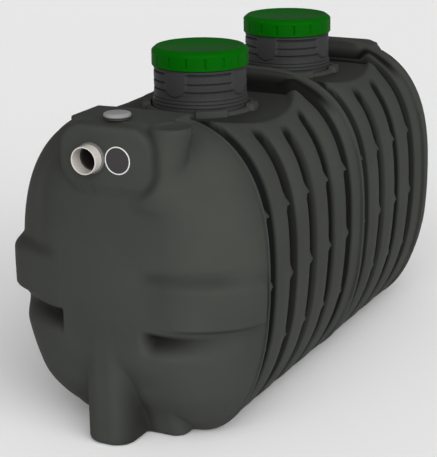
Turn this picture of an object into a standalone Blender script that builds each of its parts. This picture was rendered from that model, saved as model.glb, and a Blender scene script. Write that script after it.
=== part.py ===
"""Septic tank: a ribbed plastic tank that lies along Y, with two manhole necks under screw lids.

Metres, +Z up. The inlet end faces -Y, and the tank's flat base rests on Z = 0.
"""
import math

import bmesh
import bpy
import numpy as np

# Driving dimensions of the barrel
RIB_PITCH = 0.205
HALF_WIDTH = 0.554
WIDEST_Z = 0.656
TOP_Z = 1.337
BASE_HALF_WIDTH = 0.217
BASE_FADE = 0.35
TOP_POWER = 2.74
BELLY_POWER = 2.1

# Grooves between the ribs, and the seams that join the four moulded sections
FIRST_GROOVE_Y = -0.857
GROOVES = 9
ARCH_GROOVES = (4, 8)
GROOVE_CLEAR = 0.08
GROOVE_FADE = 0.15
GROOVE_FOOT_Z = 0.020
GROOVE_FOOT_FADE = 0.160
RIB_FOOT_FADE = 0.100
GROOVE_HALF_WIDTH = 0.046
GROOVE_DEPTH = 0.062
GROOVE_FLOOR = 0.012
RIB_INSET = 0.010
RIB_CROWN = 0.25
GROOVE_MARKS = (-1.0, -0.60, -0.26, 0.26, 0.60, 1.0)
FRONT_SEAM_Y = -0.934
MIDDLE_SEAM_Y = 0.0875
REAR_SEAM_Y = 0.934
LIP_WIDTH = 0.010
LIP_DEPTH = 0.040
GAP = 0.0003

# Domed ends; beyond CAP_START_Y they round off, and a flatter pad fills their middle
CAP_START_Y = 0.940
CAP_DEPTH = 0.305
CAP_POWER = 2.2
CAP_LOW_POWER = 2.0
CAP_LOW_Z = 0.300
CAP_HIGH_Z = 0.700
CAP_INSET = 0.004
CAP_TUCK = 0.030
TUCK_TOP_Z = 0.240
TUCK_HEIGHT = 0.200
TUCK_REACH = 0.080
FACE_Y = 1.250
PAD_Y = 1.230
PAD_Z = 0.755
PAD_HALF_WIDTH = 0.370
PAD_HALF_HEIGHT = 0.475
PAD_CORNER = 0.250
PAD_EDGE = 0.140
PAD_BLEND = 0.060

# Moulded features of the ends; X counts towards the second port, away from the pipe
FLUTE_X = -0.050
CHEEK_INNER_X = 0.170
CHEEK_START = 0.030
CHEEK_FADE = 0.300
CHEEK_LOW_Z = 0.526
CHEEK_HIGH_Z = 0.770
CHEEK_LOWER = 0.030
CHEEK_STEP = 0.006
CHEEK_UPPER = 0.070
CHEEK_SETBACK = 0.090
CHEEK_RISE = 0.045
CHEEK_RISE_X = 0.050
CHEEK_RISE_SPAN = 0.250
CHEEK_LIFT = 0.040
POCKET_DEPTH = 0.052
POCKET_HEIGHT = 0.130
POCKET_UPPER = 0.045
POCKET_LOWER = 0.085
POCKET_SPAN = 0.420
POCKET_SIDE = 0.050
COLUMN_Y = 1.040
COLUMN_HALF_WIDTH = 0.105
COLUMN_HALF_DEPTH = 0.203
COLUMN_CORNER = 0.085
COLUMN_TOP_Z = 0.600
COLUMN_ROUND = 0.022
BASE_FRONT_Y = 1.055
BASE_LEAN = 0.130
BASE_HALF_DEPTH = 0.200
BASE_TOP_Z = 0.260
BASE_LEAN_Z = 0.340
BASE_CORNER = 0.060
BASE_ROUND = 0.020
FOOT_BLEND = 0.012
BOSS_Z = 1.2115
BOSS_HALF_WIDTH = 0.205
BOSS_HALF_HEIGHT = 0.1265
BOSS_CORNER = 0.097
BOSS_TOP_Z = 1.345
BOSS_ROUND = 0.020
BOSS_BLEND = 0.030
TOP_ROUND = 0.010
SHELF_Y = 1.030
SHELF_HALF_WIDTH = 0.212
SHELF_HALF_DEPTH = 0.135
SHELF_LOW_Z = 1.150
SHELF_CORNER = 0.040
SHELF_BLEND = 0.020
LUG_X = 0.250
LUG_Y = 1.155
LUG_RADIUS = 0.082
LUG_LOW_Z = 1.020
LUG_LEAN = 0.250
LUG_BLEND = 0.035
DISH_DEPTH = 0.008
DISH_RADIUS = 0.045
DISH_EDGE = 0.020
REAR_DROP = 0.050

# Inner wall and the openings cut through the shell
WALL = 0.075
CEILING_Z = 1.235
FLOOR_Z = 0.067
MANHOLE_RADIUS = 0.180

# Flat decks round the necks
DECK_Z = 1.2546
DECK_HALF_X = 0.352
DECK_HALF_Y = 0.490
DECK_SLOPE = 2.0
DECK_EDGE = 0.040
ARCH_HALF_WIDTH = 0.070
END_ARCH_WIDTH = 0.055
NECK_YS = {"front": -0.432, "rear": 0.476}

# Necks, their sockets, and lids that screw down over a narrower rim
NECK_RADIUS = 0.207
NECK_WAIST_RADIUS = 0.203
NECK_UPPER_RADIUS = 0.197
NECK_BORE = 0.182
NECK_WAIST_Z = 1.322
NECK_UPPER_Z = 1.350
NECK_STEP = 0.006
RIM_RADIUS = 0.190
SOCKET_BORE = 0.2125
SOCKET_RADIUS = 0.236
SOCKET_TAPER = 0.004
SOCKET_HEIGHT = 0.016
LID_RADIUS = 0.205
LID_INNER_RADIUS = 0.1965
LID_BEVEL = 0.012
LID_CROWN = 0.001
LID_FLAT_RADIUS = 0.175
LID_BOTTOM_Z = 1.439
LID_TOP_Z = 1.518
LID_THICKNESS = 0.013
LID_SEAL_HEIGHT = 0.010
LID_SEAL_INSET = 0.001

# Connections on each end for 110 mm pipe; the second port is closed by a plate in a ring
PORT_X = 0.059
PORT_ZS = {"front": 1.209, "rear": 1.159}
PIPE_RADIUS = 0.055
PIPE_BORE = 0.050
PIPE_REACH = 0.058
PIPE_INSIDE_Y = 1.060
SEAL_RADIUS = 0.0615
SEAL_THICKNESS = 0.012
RING_RADIUS = 0.055
PLATE_RADIUS = 0.0505
RING_THICKNESS = 0.003
PLATE_THICKNESS = 0.002
VENT_Y = 1.139
VENT_RADIUS = 0.054
VENT_COLLAR_RADIUS = 0.045
VENT_TOP_Z = 1.371
VENT_CAP_HEIGHT = 0.016
VENT_BEVEL = 0.004

# Loops and points of the meshes; tilts in degrees from the seam plane
RAY_REACH = 1.2
RAY_SAMPLES = 80
RAY_HALVINGS = 22
AROUND = 48
END_AROUND = 80
END_TILTS = (0, 6, 11, 15, 19, 23, 26.5, 30, 33.5, 37, 41, 45, 50, 56, 62, 69, 77, 84)
INNER_TILTS = (0, 12, 22, 40, 65)
BARREL_STEPS = 5
ROUND_SIDES = 40
SMALL_SIDES = 24

# Colour and roughness of each kind of piece
BODY_LOOK = ((0.060, 0.063, 0.057), 0.55)
NECK_LOOK = ((0.045, 0.046, 0.048), 0.50)
LID_LOOK = ((0.000, 0.190, 0.000), 0.40)
PIPE_LOOK = ((0.560, 0.530, 0.490), 0.45)
CAP_LOOK = ((0.230, 0.230, 0.230), 0.45)
RUBBER_LOOK = ((0.150, 0.150, 0.150), 0.70)
PLATE_LOOK = ((0.050, 0.047, 0.047), 0.55)
RING_LOOK = ((0.600, 0.600, 0.600), 0.45)


def smooth_step(t):
    t = np.clip(t, 0.0, 1.0)
    return t * t * (3.0 - 2.0 * t)


def blend(a, b, radius):
    """Union of two distances with a fillet of about the given radius."""
    near = np.maximum(radius - np.abs(a - b), 0.0) / radius
    return np.minimum(a, b) - near * near * radius / 4.0


def section_level(x, z):
    """1 on the barrel's outline, less inside it."""
    rise = (z - WIDEST_Z) / (TOP_Z - WIDEST_Z)
    drop = (WIDEST_Z - z) / WIDEST_Z
    above = rise > 0.0
    flat = BASE_HALF_WIDTH * smooth_step(drop / BASE_FADE)
    across = np.where(above, np.abs(x) / HALF_WIDTH, np.maximum(np.abs(x) - flat, 0.0) / (HALF_WIDTH - flat))
    power = np.where(above, TOP_POWER, BELLY_POWER)
    return (across ** power + np.maximum(rise, drop) ** power) ** (1.0 / power)


def hull_level(x, y, z):
    past = np.maximum(np.abs(y) - CAP_START_Y, 0.0) / CAP_DEPTH
    fade = smooth_step((z - CAP_LOW_Z) / (CAP_HIGH_Z - CAP_LOW_Z))
    power = CAP_LOW_POWER + (CAP_POWER - CAP_LOW_POWER) * fade
    return (section_level(x, z) ** power + past ** power) ** (1.0 / power)


def hull_distance(x, y, z):
    """About the distance to the plain hull, without ribs or bosses."""
    step = 1e-4
    level = hull_level(x, y, z)
    slope = np.sqrt(
        (hull_level(x + step, y, z) - level) ** 2
        + (hull_level(x, y + step, z) - level) ** 2
        + (hull_level(x, y, z + step) - level) ** 2
    ) / step
    return (level - 1.0) / np.maximum(slope, 0.5)


def deck_reach(x, y):
    """Below 0 on a deck, and more the further a point lies outside both."""
    out = np.full_like(x, 9.0)
    for neck_y in NECK_YS.values():
        out = np.minimum(out, np.hypot(x / DECK_HALF_X, (y - neck_y) / DECK_HALF_Y) - 1.0)
    return out


def deck_top(x, y):
    """Height that the shell is cut down to around the necks."""
    rise = np.maximum(deck_reach(x, y) * DECK_HALF_X, 0.0)
    rise = np.maximum(rise, ARCH_HALF_WIDTH - np.abs(y - MIDDLE_SEAM_Y))
    rise = np.maximum(rise, np.abs(y) - REAR_SEAM_Y + END_ARCH_WIDTH)
    return DECK_Z + DECK_SLOPE * rise


def groove_side(x, y, z, beside_arch):
    """Fades a groove out towards the deck and the base; one beside an arch runs on over the top."""
    top = 1.0 if beside_arch else smooth_step((deck_reach(x, y) - GROOVE_CLEAR) / GROOVE_FADE)
    return np.where(z > WIDEST_Z, top, smooth_step((z - GROOVE_FOOT_Z) / GROOVE_FOOT_FADE))


def groove_inset(x, y, z):
    """Depth below the plain barrel: the grooves, and the ribs' crowned backs between them."""
    inset = np.zeros_like(x)
    for number in range(GROOVES):
        off = np.abs(y - FIRST_GROOVE_Y - number * RIB_PITCH)
        fill = 1.0 - smooth_step((off - GROOVE_FLOOR) / (GROOVE_HALF_WIDTH - GROOVE_FLOOR))
        crown = RIB_CROWN * (1.0 - smooth_step(off / (0.5 * RIB_PITCH)))
        side = groove_side(x, y, z, number in ARCH_GROOVES)
        inset = np.maximum(inset, np.maximum(fill, crown) * side)
    return RIB_INSET * smooth_step((z - GROOVE_FOOT_Z) / RIB_FOOT_FADE) + GROOVE_DEPTH * inset


def barrel_skin(x, y, z):
    shell = hull_distance(x, y, z) + groove_inset(x, y, z)
    shell = -blend(-shell, deck_top(x, y) - z, DECK_EDGE)
    return np.maximum(shell, -z)


def rounded_outline(across, up, half_across, half_up, radius):
    """Distance in a plane to a rectangle with rounded corners."""
    one = np.abs(across) - half_across + radius
    two = np.abs(up) - half_up + radius
    outside = np.hypot(np.maximum(one, 0.0), np.maximum(two, 0.0))
    return outside + np.minimum(np.maximum(one, two), 0.0) - radius


def rounded_prism(flat, reach, edge):
    """Distance to a flat outline that is pulled out to a reach, with a rounded edge."""
    one = flat + edge
    two = reach + edge
    outside = np.hypot(np.maximum(one, 0.0), np.maximum(two, 0.0))
    return outside + np.minimum(np.maximum(one, two), 0.0) - edge


def cheek_rise(across):
    """How much higher the bulge on the pipe's side of the flute sits."""
    return CHEEK_RISE * smooth_step((CHEEK_RISE_X - across) / CHEEK_RISE_SPAN)


def cheek_lift(across, out, z):
    """How far the bulge on each side of the flute stands off the dome."""
    low = CHEEK_LOW_Z + cheek_rise(across)
    high = CHEEK_HIGH_Z + cheek_rise(across)
    band = smooth_step((z - low) / CHEEK_LOWER) * smooth_step((high - z) / CHEEK_UPPER)
    near = smooth_step((np.abs(across - FLUTE_X) - CHEEK_INNER_X - CHEEK_START) / CHEEK_FADE)
    return CHEEK_LIFT * band * near * smooth_step((out - CAP_START_Y) / CHEEK_SETBACK)


def pocket_depth(across, z):
    """Depth of the recess under each bulge, deepest beside the flute."""
    past = np.abs(across - FLUTE_X) - CHEEK_INNER_X
    top = CHEEK_LOW_Z + CHEEK_STEP + cheek_rise(across)
    depth = POCKET_DEPTH * (1.0 - smooth_step(past / POCKET_SPAN))
    ramp = smooth_step((z - top + POCKET_HEIGHT) / POCKET_LOWER) * smooth_step((top - z) / POCKET_UPPER)
    return depth * ramp * smooth_step(past / POCKET_SIDE)


def dome(x, y, z):
    """The plain end: rounded off, tucked in towards the floor and filled out in the middle."""
    side = np.abs(x)
    out = np.abs(y)
    tuck = CAP_TUCK * smooth_step((TUCK_TOP_Z - z) / TUCK_HEIGHT) * smooth_step((out - CAP_START_Y) / TUCK_REACH)
    pad = rounded_outline(side, z - PAD_Z, PAD_HALF_WIDTH, PAD_HALF_HEIGHT, PAD_CORNER)
    pad = rounded_prism(pad, out - PAD_Y, PAD_EDGE)
    return blend(hull_distance(x, y, z) + CAP_INSET + tuck, pad, PAD_BLEND)


def foot(across, side, out, z):
    """The flute's column under the pipe, and the base block behind it."""
    along = out - COLUMN_Y
    column = rounded_outline(across - FLUTE_X, along, COLUMN_HALF_WIDTH, COLUMN_HALF_DEPTH, COLUMN_CORNER)
    column = np.maximum(rounded_prism(column, -z, COLUMN_ROUND), z - COLUMN_TOP_Z)
    front = BASE_FRONT_Y + BASE_LEAN * smooth_step(z / BASE_LEAN_Z)
    base = rounded_outline(side, out - front + BASE_HALF_DEPTH, BASE_HALF_WIDTH, BASE_HALF_DEPTH, BASE_CORNER)
    base = rounded_prism(base, np.maximum(-z, z - BASE_TOP_Z), BASE_ROUND)
    return blend(column, base, FOOT_BLEND)


def top_features(across, side, out, z, drop, solid):
    """Port boss, the shelf behind it and, where nothing drops, the lug beside it."""
    boss = rounded_outline(side, z - BOSS_Z + drop, BOSS_HALF_WIDTH, BOSS_HALF_HEIGHT, BOSS_CORNER)
    solid = blend(solid, rounded_prism(boss, out - FACE_Y, BOSS_ROUND), BOSS_BLEND)
    top = z - BOSS_TOP_Z + drop
    shelf = rounded_outline(side, out - SHELF_Y, SHELF_HALF_WIDTH, SHELF_HALF_DEPTH, SHELF_CORNER)
    shelf = rounded_prism(shelf, np.maximum(top, SHELF_LOW_Z - z), TOP_ROUND)
    solid = blend(solid, shelf, SHELF_BLEND)
    lug = np.hypot(across - LUG_X - LUG_LEAN * (z - BOSS_TOP_Z), out - LUG_Y) - LUG_RADIUS
    lug = rounded_prism(lug, np.maximum(top, LUG_LOW_Z - z), TOP_ROUND)
    solid = np.where(drop > 0.0, solid, blend(solid, lug, LUG_BLEND))
    dish = 1.0 - smooth_step((np.hypot(across - LUG_X, out - LUG_Y) - DISH_RADIUS) / DISH_EDGE)
    return np.maximum(solid, top + np.where(drop > 0.0, 0.0, DISH_DEPTH * dish))


def cap_skin(x, y, z):
    """Distance to a domed end; only the inlet end has cheeks, pockets and a lug."""
    front = y < 0.0
    side = np.abs(x)
    out = np.abs(y)
    across = np.where(front, x, -x)
    relief = pocket_depth(across, z) - cheek_lift(across, out, z)
    solid = dome(x, y, z) + np.where(front, relief, 0.0)
    solid = blend(solid, foot(across, side, out, z), FOOT_BLEND)
    solid = top_features(across, side, out, z, np.where(front, 0.0, REAR_DROP), solid)
    return np.maximum(np.maximum(solid, out - FACE_Y), -z)


def inner_wall(x, y, z):
    plain = hull_distance(x, y, z) + WALL
    return np.maximum(np.maximum(plain, z - CEILING_Z), FLOOR_Z - z)


def ray_lengths(skin, origins, ways):
    """Distance from each origin along its way to the outermost point of the skin."""
    step = RAY_REACH / RAY_SAMPLES
    low = np.zeros(len(origins))
    high = np.full(len(origins), RAY_REACH)
    found = np.zeros(len(origins), bool)
    for number in range(RAY_SAMPLES - 1, -1, -1):
        inside = skin(*(origins + ways * step * number).T) < 0.0
        first = inside & ~found
        low[first] = step * number
        high[first] = step * (number + 1)
        found |= first
    for _ in range(RAY_HALVINGS):
        middle = (low + high) / 2.0
        inside = skin(*(origins + ways * middle[:, None]).T) < 0.0
        low = np.where(inside, middle, low)
        high = np.where(inside, high, middle)
    return low


def directions(around):
    angles = (np.arange(around) + 0.5) * 2.0 * math.pi / around
    return np.stack([np.cos(angles), np.zeros(around), np.sin(angles)], axis=1)


def ring_points(skin, y, around):
    """One loop of points where the skin crosses the plane at y."""
    ways = directions(around)
    origins = np.tile([0.0, y, WIDEST_Z], (around, 1))
    return origins + ways * ray_lengths(skin, origins, ways)[:, None]


def dome_points(skin, seam_y, tilts, around):
    """Loops from the seam plane out to the end, and the end point."""
    outward = math.copysign(1.0, seam_y)
    loops = []
    for tilt in tilts:
        ways = directions(around) * math.cos(tilt) + np.array([0.0, outward * math.sin(tilt), 0.0])
        origins = np.tile([0.0, seam_y, WIDEST_Z], (around, 1))
        loops.append(origins + ways * ray_lengths(skin, origins, ways)[:, None])
    way = np.array([[0.0, outward, 0.0]])
    origin = np.array([[0.0, seam_y, WIDEST_Z]])
    return loops, (origin + way * ray_lengths(skin, origin, way)[:, None])[0]


def material(name, colour, roughness):
    made = bpy.data.materials.new(name)
    made.use_nodes = True
    shader = made.node_tree.nodes["Principled BSDF"]
    shader.inputs["Base Color"].default_value = (*colour, 1.0)
    shader.inputs["Roughness"].default_value = roughness
    return made


def add_object(name, mesh_builder, look):
    """Turn a filled bmesh into a smooth-shaded object with its own material."""
    bmesh.ops.recalc_face_normals(mesh_builder, faces=mesh_builder.faces)
    bmesh.ops.triangulate(mesh_builder, faces=mesh_builder.faces, quad_method="SHORT_EDGE")
    mesh = bpy.data.meshes.new(name)
    mesh_builder.to_mesh(mesh)
    mesh_builder.free()
    mesh.shade_smooth()
    mesh.set_sharp_from_angle(angle=math.radians(35.0))
    colour, roughness = look
    mesh.materials.append(material(name, colour, roughness))
    made = bpy.data.objects.new(name, mesh)
    bpy.context.scene.collection.objects.link(made)
    return made


def strip(builder, loops, closed=False):
    """Quads between consecutive loops of vertices, and from the last to the first if closed."""
    pairs = list(zip(loops, loops[1:]))
    if closed:
        pairs.append((loops[-1], loops[0]))
    for one, two in pairs:
        for index in range(len(one)):
            after = (index + 1) % len(one)
            builder.faces.new((one[index], one[after], two[after], two[index]))


def vertex_loops(builder, loops):
    return [[builder.verts.new(point) for point in loop] for loop in loops]


def barrel(name, y_low, y_high, look):
    """A ribbed tube between two seams, with a plain inner wall."""
    marks = {y_low, y_high}
    for number in range(GROOVES):
        centre = FIRST_GROOVE_Y + number * RIB_PITCH
        spots = [centre + GROOVE_HALF_WIDTH * mark for mark in GROOVE_MARKS]
        spots.append(centre + RIB_PITCH / 2.0)
        marks.update(spot for spot in spots if y_low + LIP_WIDTH < spot < y_high - LIP_WIDTH)
    outer = [ring_points(barrel_skin, y, AROUND) for y in sorted(marks)]
    inner = [ring_points(inner_wall, y, AROUND) for y in np.linspace(y_high, y_low, BARREL_STEPS)]
    builder = bmesh.new()
    strip(builder, vertex_loops(builder, outer + inner), closed=True)
    return add_object(name, builder, look)


def domed_end(name, seam_y, look):
    """A cap with its bosses outside and a plain bowl inside."""
    tilts = [math.radians(t) for t in END_TILTS]
    outer, outer_pole = dome_points(cap_skin, seam_y, tilts, END_AROUND)
    inner_tilts = [math.radians(t) for t in INNER_TILTS]
    inner, inner_pole = dome_points(inner_wall, seam_y, inner_tilts, END_AROUND)
    builder = bmesh.new()
    loops = vertex_loops(builder, inner[::-1] + outer)
    strip(builder, loops)
    for loop, pole in ((loops[0], inner_pole), (loops[-1], outer_pole)):
        tip = builder.verts.new(pole)
        for index in range(END_AROUND):
            builder.faces.new((loop[index], loop[(index + 1) % END_AROUND], tip))
    return add_object(name, builder, look)


def lip_skin(x, y, z):
    return np.maximum(hull_distance(x, np.zeros_like(y), z), -z)


def lip_bore(x, y, z):
    plain = hull_distance(x, np.zeros_like(y), z) + LIP_DEPTH
    return np.maximum(plain, LIP_DEPTH - z)


def seam_lip(name, y_low, y_high, look):
    """A thin weld lip that stands proud of the shells on both sides of it."""
    outer = [ring_points(lip_skin, y, AROUND) for y in (y_low, y_high)]
    inner = [ring_points(lip_bore, y, AROUND) for y in (y_high, y_low)]
    builder = bmesh.new()
    strip(builder, vertex_loops(builder, outer + inner), closed=True)
    return add_object(name, builder, look)


def round_point(radius, height, number, sides, centre, along_y):
    """One point of a circle about Z, or about Y, through a centre."""
    angle = 2.0 * math.pi * number / sides
    across = radius * math.cos(angle)
    up = radius * math.sin(angle)
    spot = (across, height, up) if along_y else (across, up, height)
    return [middle + part for middle, part in zip(centre, spot)]


def turned(name, profile, centre, look, along_y=False, sides=ROUND_SIDES):
    """Revolve a closed profile of (radius, height) about Z, or about Y, through a centre."""
    loops = [
        [round_point(radius, height, number, sides, centre, along_y) for radius, height in profile]
        for number in range(sides)
    ]
    builder = bmesh.new()
    strip(builder, vertex_loops(builder, loops), closed=True)
    bmesh.ops.remove_doubles(builder, verts=builder.verts, dist=1e-6)
    return add_object(name, builder, look)


def disc(name, radius, low, high, centre, look, along_y=False, sides=ROUND_SIDES):
    """A plain round plate from low to high along its axis."""
    loops = [
        [round_point(radius, height, number, sides, centre, along_y) for number in range(sides)]
        for height in (low, high)
    ]
    builder = bmesh.new()
    rims = vertex_loops(builder, loops)
    strip(builder, rims)
    builder.faces.new(rims[0][::-1])
    builder.faces.new(rims[1])
    return add_object(name, builder, look)


def cut(target, cutter):
    """Take the cutter out of the target with an EXACT Boolean."""
    cutter.hide_render = True
    cutter.display_type = "WIRE"
    modifier = target.modifiers.new("opening", "BOOLEAN")
    modifier.operation = "DIFFERENCE"
    modifier.solver = "EXACT"
    modifier.object = cutter


def build_shell():
    """Two domed ends and two barrels, with weld lips on the seams and the openings cut out."""
    half = LIP_WIDTH / 2.0
    pair = LIP_WIDTH + 1.5 * GAP
    ends = {
        "front": domed_end("front_end", FRONT_SEAM_Y - half - GAP, BODY_LOOK),
        "rear": domed_end("rear_end", REAR_SEAM_Y + pair, BODY_LOOK),
    }
    barrels = {
        "front": barrel("front_barrel", FRONT_SEAM_Y + half + GAP, MIDDLE_SEAM_Y - pair, BODY_LOOK),
        "rear": barrel("rear_barrel", MIDDLE_SEAM_Y + pair, REAR_SEAM_Y - pair, BODY_LOOK),
    }
    seam_lip("front_seam_lip", FRONT_SEAM_Y - half, FRONT_SEAM_Y + half, BODY_LOOK)
    for name, seam_y in (("middle", MIDDLE_SEAM_Y), ("rear", REAR_SEAM_Y)):
        near = GAP / 2.0
        far = near + LIP_WIDTH
        seam_lip(name + "_seam_lip_a", seam_y - far, seam_y - near, BODY_LOOK)
        seam_lip(name + "_seam_lip_b", seam_y + near, seam_y + far, BODY_LOOK)
    for place, neck_y in NECK_YS.items():
        low = CEILING_Z - WALL
        high = TOP_Z + WALL
        hole = disc(place + "_manhole_cutter", MANHOLE_RADIUS, low, high, (0.0, neck_y, 0.0), BODY_LOOK)
        cut(barrels[place], hole)
    for place, outward in (("front", -1.0), ("rear", 1.0)):
        low, high = sorted((outward * CAP_START_Y, outward * (FACE_Y + WALL)))
        centre = (outward * PORT_X, 0.0, PORT_ZS[place])
        bore = PIPE_RADIUS + GAP
        hole = disc(place + "_port_cutter", bore, low, high, centre, BODY_LOOK, True, SMALL_SIDES)
        cut(ends[place], hole)


def build_neck_and_lid(place, neck_y):
    centre = (0.0, neck_y, 0.0)
    low = DECK_Z + GAP
    top = low + SOCKET_HEIGHT
    socket = [
        (SOCKET_BORE, low),
        (SOCKET_RADIUS, low),
        (SOCKET_RADIUS - SOCKET_TAPER, top),
        (SOCKET_BORE, top),
    ]
    turned(place + "_neck_socket", socket, centre, BODY_LOOK)
    under = LID_TOP_Z - LID_THICKNESS
    rim = under - LID_SEAL_HEIGHT
    neck = [
        (NECK_BORE, low),
        (NECK_RADIUS, low),
        (NECK_RADIUS, NECK_WAIST_Z - NECK_STEP),
        (NECK_WAIST_RADIUS, NECK_WAIST_Z),
        (NECK_WAIST_RADIUS, NECK_UPPER_Z - NECK_STEP),
        (NECK_UPPER_RADIUS, NECK_UPPER_Z),
        (NECK_UPPER_RADIUS, LID_BOTTOM_Z - 2.0 * NECK_STEP),
        (RIM_RADIUS, LID_BOTTOM_Z - NECK_STEP),
        (RIM_RADIUS, rim),
        (NECK_BORE, rim),
    ]
    turned(place + "_neck", neck, centre, NECK_LOOK)
    inner = NECK_BORE + LID_SEAL_INSET
    outer = RIM_RADIUS - LID_SEAL_INSET
    seal_low = rim + GAP
    seal_high = under - GAP
    seal = [(inner, seal_low), (outer, seal_low), (outer, seal_high), (inner, seal_high)]
    turned(place + "_lid_seal", seal, centre, RUBBER_LOOK)
    lid = [
        (0.0, under),
        (LID_INNER_RADIUS, under),
        (LID_INNER_RADIUS, LID_BOTTOM_Z),
        (LID_RADIUS, LID_BOTTOM_Z),
        (LID_RADIUS, LID_TOP_Z - LID_BEVEL),
        (LID_RADIUS - LID_BEVEL, LID_TOP_Z - LID_CROWN),
        (LID_FLAT_RADIUS, LID_TOP_Z),
        (0.0, LID_TOP_Z),
    ]
    turned(place + "_lid", lid, centre, LID_LOOK)


def tube(name, bore, radius, low, high, outward, centre, look):
    """A ring or pipe along Y, from low to high in the outward direction."""
    near = outward * low
    far = outward * high
    profile = [(bore, near), (radius, near), (radius, far), (bore, far)]
    return turned(name, profile, centre, look, along_y=True, sides=SMALL_SIDES)


def build_connections(place, outward, pipe_name):
    """Pipe spigot with its seal and the closed second port on one end."""
    face = FACE_Y + GAP
    port_z = PORT_ZS[place]
    pipe_centre = (outward * PORT_X, 0.0, port_z)
    blind_centre = (-outward * PORT_X, 0.0, port_z)
    pipe_end = FACE_Y + PIPE_REACH
    seal_end = face + SEAL_THICKNESS
    seal_bore = PIPE_RADIUS + GAP
    ring_end = face + RING_THICKNESS
    spigot = pipe_name + "_spigot"
    tube(spigot, PIPE_BORE, PIPE_RADIUS, PIPE_INSIDE_Y, pipe_end, outward, pipe_centre, PIPE_LOOK)
    tube(pipe_name + "_seal", seal_bore, SEAL_RADIUS, face, seal_end, outward, pipe_centre, RUBBER_LOOK)
    tube(place + "_port_ring", PLATE_RADIUS, RING_RADIUS, face, ring_end, outward, blind_centre, RING_LOOK)
    low, high = sorted((outward * face, outward * (face + PLATE_THICKNESS)))
    disc(place + "_port_plate", PLATE_RADIUS - GAP, low, high, blind_centre, PLATE_LOOK, True, SMALL_SIDES)


def build_vent():
    """A low collar and cap on the inlet end's boss."""
    centre = (0.0, -VENT_Y, 0.0)
    low = BOSS_TOP_Z + GAP
    high = VENT_TOP_Z - VENT_CAP_HEIGHT
    disc("front_vent_collar", VENT_COLLAR_RADIUS, low, high, centre, BODY_LOOK, sides=SMALL_SIDES)
    cap = [
        (0.0, high + GAP),
        (VENT_RADIUS, high + GAP),
        (VENT_RADIUS, VENT_TOP_Z - VENT_BEVEL),
        (VENT_RADIUS - VENT_BEVEL, VENT_TOP_Z),
        (0.0, VENT_TOP_Z),
    ]
    turned("front_vent_cap", cap, centre, CAP_LOOK, sides=SMALL_SIDES)


def main():
    for leftover in list(bpy.data.objects):
        bpy.data.objects.remove(leftover, do_unlink=True)
    build_shell()
    for place, neck_y in NECK_YS.items():
        build_neck_and_lid(place, neck_y)
    build_connections("front", -1.0, "inlet")
    build_connections("rear", 1.0, "outlet")
    build_vent()


main()
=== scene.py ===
"""Looks of the septic tank: moulded skins, ribbed necks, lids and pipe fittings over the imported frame."""
import math

import bmesh
import bpy
import numpy as np
from mathutils import Matrix, Vector


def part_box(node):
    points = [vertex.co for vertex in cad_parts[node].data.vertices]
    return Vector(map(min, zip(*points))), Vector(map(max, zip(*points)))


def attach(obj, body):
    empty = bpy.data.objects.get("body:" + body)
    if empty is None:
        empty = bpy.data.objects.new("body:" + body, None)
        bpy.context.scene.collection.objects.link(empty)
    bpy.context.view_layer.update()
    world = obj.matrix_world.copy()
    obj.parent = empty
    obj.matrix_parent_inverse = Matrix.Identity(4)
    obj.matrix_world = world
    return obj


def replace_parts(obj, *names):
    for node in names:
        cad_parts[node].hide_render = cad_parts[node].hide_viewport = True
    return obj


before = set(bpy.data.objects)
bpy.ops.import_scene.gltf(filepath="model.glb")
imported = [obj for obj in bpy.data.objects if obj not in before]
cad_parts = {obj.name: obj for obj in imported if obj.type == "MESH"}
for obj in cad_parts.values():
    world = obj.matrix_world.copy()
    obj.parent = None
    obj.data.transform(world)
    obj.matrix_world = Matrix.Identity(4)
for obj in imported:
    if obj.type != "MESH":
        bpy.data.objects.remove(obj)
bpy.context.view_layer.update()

# Driving dimensions of the barrel, metres, as in the frame; the inlet end faces -Y
RIB_PITCH = 0.205
HALF_WIDTH = 0.554
WIDEST_Z = 0.656
TOP_Z = 1.337
BASE_HALF_WIDTH = 0.217
BASE_FADE = 0.35
TOP_POWER = 2.74
BELLY_POWER = 2.1

# Grooves between the ribs, and the seams that join the four moulded sections
FIRST_GROOVE_Y = -0.857
GROOVES = 9
ARCH_GROOVES = (4, 8)
GROOVE_CLEAR = 0.08
GROOVE_FADE = 0.15
GROOVE_FOOT_Z = 0.020
GROOVE_FOOT_FADE = 0.160
RIB_FOOT_FADE = 0.100
GROOVE_HALF_WIDTH = 0.046
GROOVE_DEPTH = 0.062
GROOVE_FLOOR = 0.012
RIB_INSET = 0.010
RIB_CROWN = 0.25
SEAM_LIPS = ("front_seam_lip", "middle_seam_lip_a", "middle_seam_lip_b", "rear_seam_lip_a", "rear_seam_lip_b")
LIP_DEPTH = 0.040
LIP_ROUND = 0.0015
LIP_DRAW = 0.003
MIDDLE_SEAM_Y = 0.0875
REAR_SEAM_Y = 0.934
GAP = 0.0003

# Nubs that lean from the ribs into the grooves
NUB_ZS = (0.38, 0.656, 0.950)
NUB_REACH = 0.070
NUB_EDGE = 0.028
NUB_BELOW = 0.036
NUB_LOWER = 0.022
NUB_ABOVE = 0.066
NUB_UPPER = 0.095
NUB_FULL = 0.25

# Domed ends; beyond CAP_START_Y they round off, and a flatter pad fills their middle
CAP_START_Y = 0.940
CAP_DEPTH = 0.305
CAP_POWER = 2.2
CAP_LOW_POWER = 2.0
CAP_LOW_Z = 0.300
CAP_HIGH_Z = 0.700
CAP_INSET = 0.004
CAP_TUCK = 0.030
TUCK_TOP_Z = 0.240
TUCK_HEIGHT = 0.200
TUCK_REACH = 0.080
FACE_Y = 1.250
PAD_Y = 1.230
PAD_Z = 0.755
PAD_HALF_WIDTH = 0.370
PAD_HALF_HEIGHT = 0.475
PAD_CORNER = 0.250
PAD_EDGE = 0.140
PAD_BLEND = 0.060

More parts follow.
